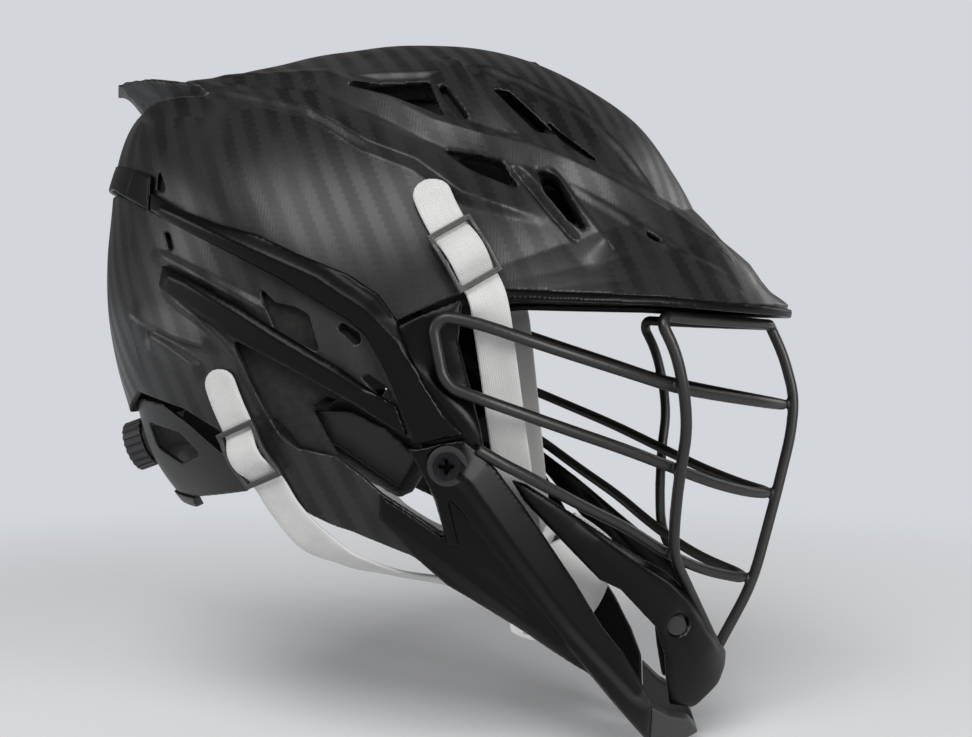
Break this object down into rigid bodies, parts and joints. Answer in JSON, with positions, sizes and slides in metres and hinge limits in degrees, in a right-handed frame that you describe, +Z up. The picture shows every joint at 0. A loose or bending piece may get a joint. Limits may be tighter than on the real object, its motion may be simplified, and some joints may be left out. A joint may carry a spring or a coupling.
{
  "type": "lacrosse helmet",
  "caption": "Lacrosse helmet with vented shell, side rails, jaw guards, welded wire mask, foam liner, nape cradle with dial and a four-point chin strap with cup.",
  "frame": {"origin": "middle of the crown pad's flat underside, where the helmet rests on the head", "axes": "+Z up, -Y towards the face, +X towards the wearer's left"},
  "size_m": [0.2192, 0.323, 0.323],
  "materials": {
    "carbon_shell": "carbon twill under clear coat",
    "gloss_black": "gloss moulded",
    "matte_black": "fine moulded grain",
    "mask_wire": "satin powder coat",
    "steel": "blackened",
    "foam": "moulded foam",
    "pad_fabric": "brushed knit",
    "rubber": "satin",
    "dial_plastic": "moulded",
    "cup_plastic": "satin moulded",
    "buckle_plastic": "satin moulded",
    "webbing": "woven webbing"
  },
  "bodies": {
    "helmet": {"back_pad": "pad_fabric", "back_side_pad_left": "pad_fabric", "back_side_pad_right": "pad_fabric", "brim_trim": "gloss_black", "centre_wire": "mask_wire", "cheek_plate_left": "gloss_black", "cheek_plate_right": "gloss_black", "chin_bumper": "rubber", "chin_piece": "gloss_black", "chin_plugs": "matte_black", "crown_liner": "foam", "crown_pad": "pad_fabric", "frame_wire": "mask_wire", "front_liner": "foam", "front_pad": "pad_fabric", "front_side_pad_left": "pad_fabric", "front_side_pad_right": "pad_fabric", "jaw_guard_left": "gloss_black", "jaw_guard_right": "gloss_black", "jaw_pad_left": "pad_fabric", "jaw_pad_right": "pad_fabric", "loop_wire": "mask_wire", "lower_rail_left": "gloss_black", "lower_rail_right": "gloss_black", "lower_strap_left": "webbing", "lower_strap_right": "webbing", "pad_plate_left": "matte_black", "pad_plate_right": "matte_black", "rear_bridge": "gloss_black", "rear_liner": "foam", "rear_shell": "carbon_shell", "side_pad_left": "pad_fabric", "side_pad_right": "pad_fabric", "side_screws": "steel", "side_washers": "matte_black", "t_nuts": "steel", "third_bar": "mask_wire", "upper_rail_left": "gloss_black", "upper_rail_right": "gloss_black", "upper_shell": "carbon_shell", "upper_strap_left": "webbing", "upper_strap_right": "webbing"},
    "cup": {"chin_cup": "cup_plastic", "chin_pad": "pad_fabric"},
    "cradle": {"nape_cradle": "matte_black", "nape_pad": "pad_fabric", "nape_bumper": "rubber", "dial_base": "matte_black"},
    "dial_knob": {"dial": "dial_plastic"},
    "upper_buckle_left_frame": {"upper_buckle_left": "buckle_plastic", "upper_tail_left": "webbing"},
    "upper_buckle_right_frame": {"upper_buckle_right": "buckle_plastic", "upper_tail_right": "webbing"},
    "lower_buckle_left_frame": {"lower_buckle_left": "buckle_plastic", "lower_tail_left": "webbing"},
    "lower_buckle_right_frame": {"lower_buckle_right": "buckle_plastic", "lower_tail_right": "webbing"}
  },
  "joints": [
    {"name": "cup_drop", "type": "slide", "parent": "helmet", "child": "cup", "axis": [0, 0, -1], "range_m": [0, 0.015], "deforming": ["upper_strap_left", "upper_strap_right", "lower_strap_left", "lower_strap_right"]},
    {"name": "dial_turn", "type": "hinge", "parent": "cradle", "child": "dial_knob", "pos_m": [0, 0.13684, -0.15199], "axis": [0, 0.9397, -0.342], "range_deg": [0, 360]},
    {"name": "cradle_slide", "type": "slide", "parent": "helmet", "child": "cradle", "axis": [0, -1, 0], "range_m": [0, 0.012]},
    {"name": "upper_buckle_left_tilt", "type": "hinge", "parent": "helmet", "child": "upper_buckle_left_frame", "pos_m": [0.10256, -0.02647, -0.08001], "axis": [0.2735, 0.8275, -0.4904], "range_deg": [0, 35]},
    {"name": "upper_buckle_right_tilt", "type": "hinge", "parent": "helmet", "child": "upper_buckle_right_frame", "pos_m": [-0.10256, -0.02647, -0.08001], "axis": [0.2735, -0.8275, 0.4904], "range_deg": [0, 35]},
    {"name": "lower_buckle_left_tilt", "type": "hinge", "parent": "helmet", "child": "lower_buckle_left_frame", "pos_m": [0.09175, 0.06264, -0.16056], "axis": [-0.4092, 0.838, -0.3611], "range_deg": [0, 35]},
    {"name": "lower_buckle_right_tilt", "type": "hinge", "parent": "helmet", "child": "lower_buckle_right_frame", "pos_m": [-0.09175, 0.06264, -0.16056], "axis": [-0.4092, -0.838, 0.3611], "range_deg": [0, 35]}
  ],
  "couplings": [
    {"joint": "dial_turn", "follows": "cradle_slide", "rad_per_m": 523.59}
  ]
}
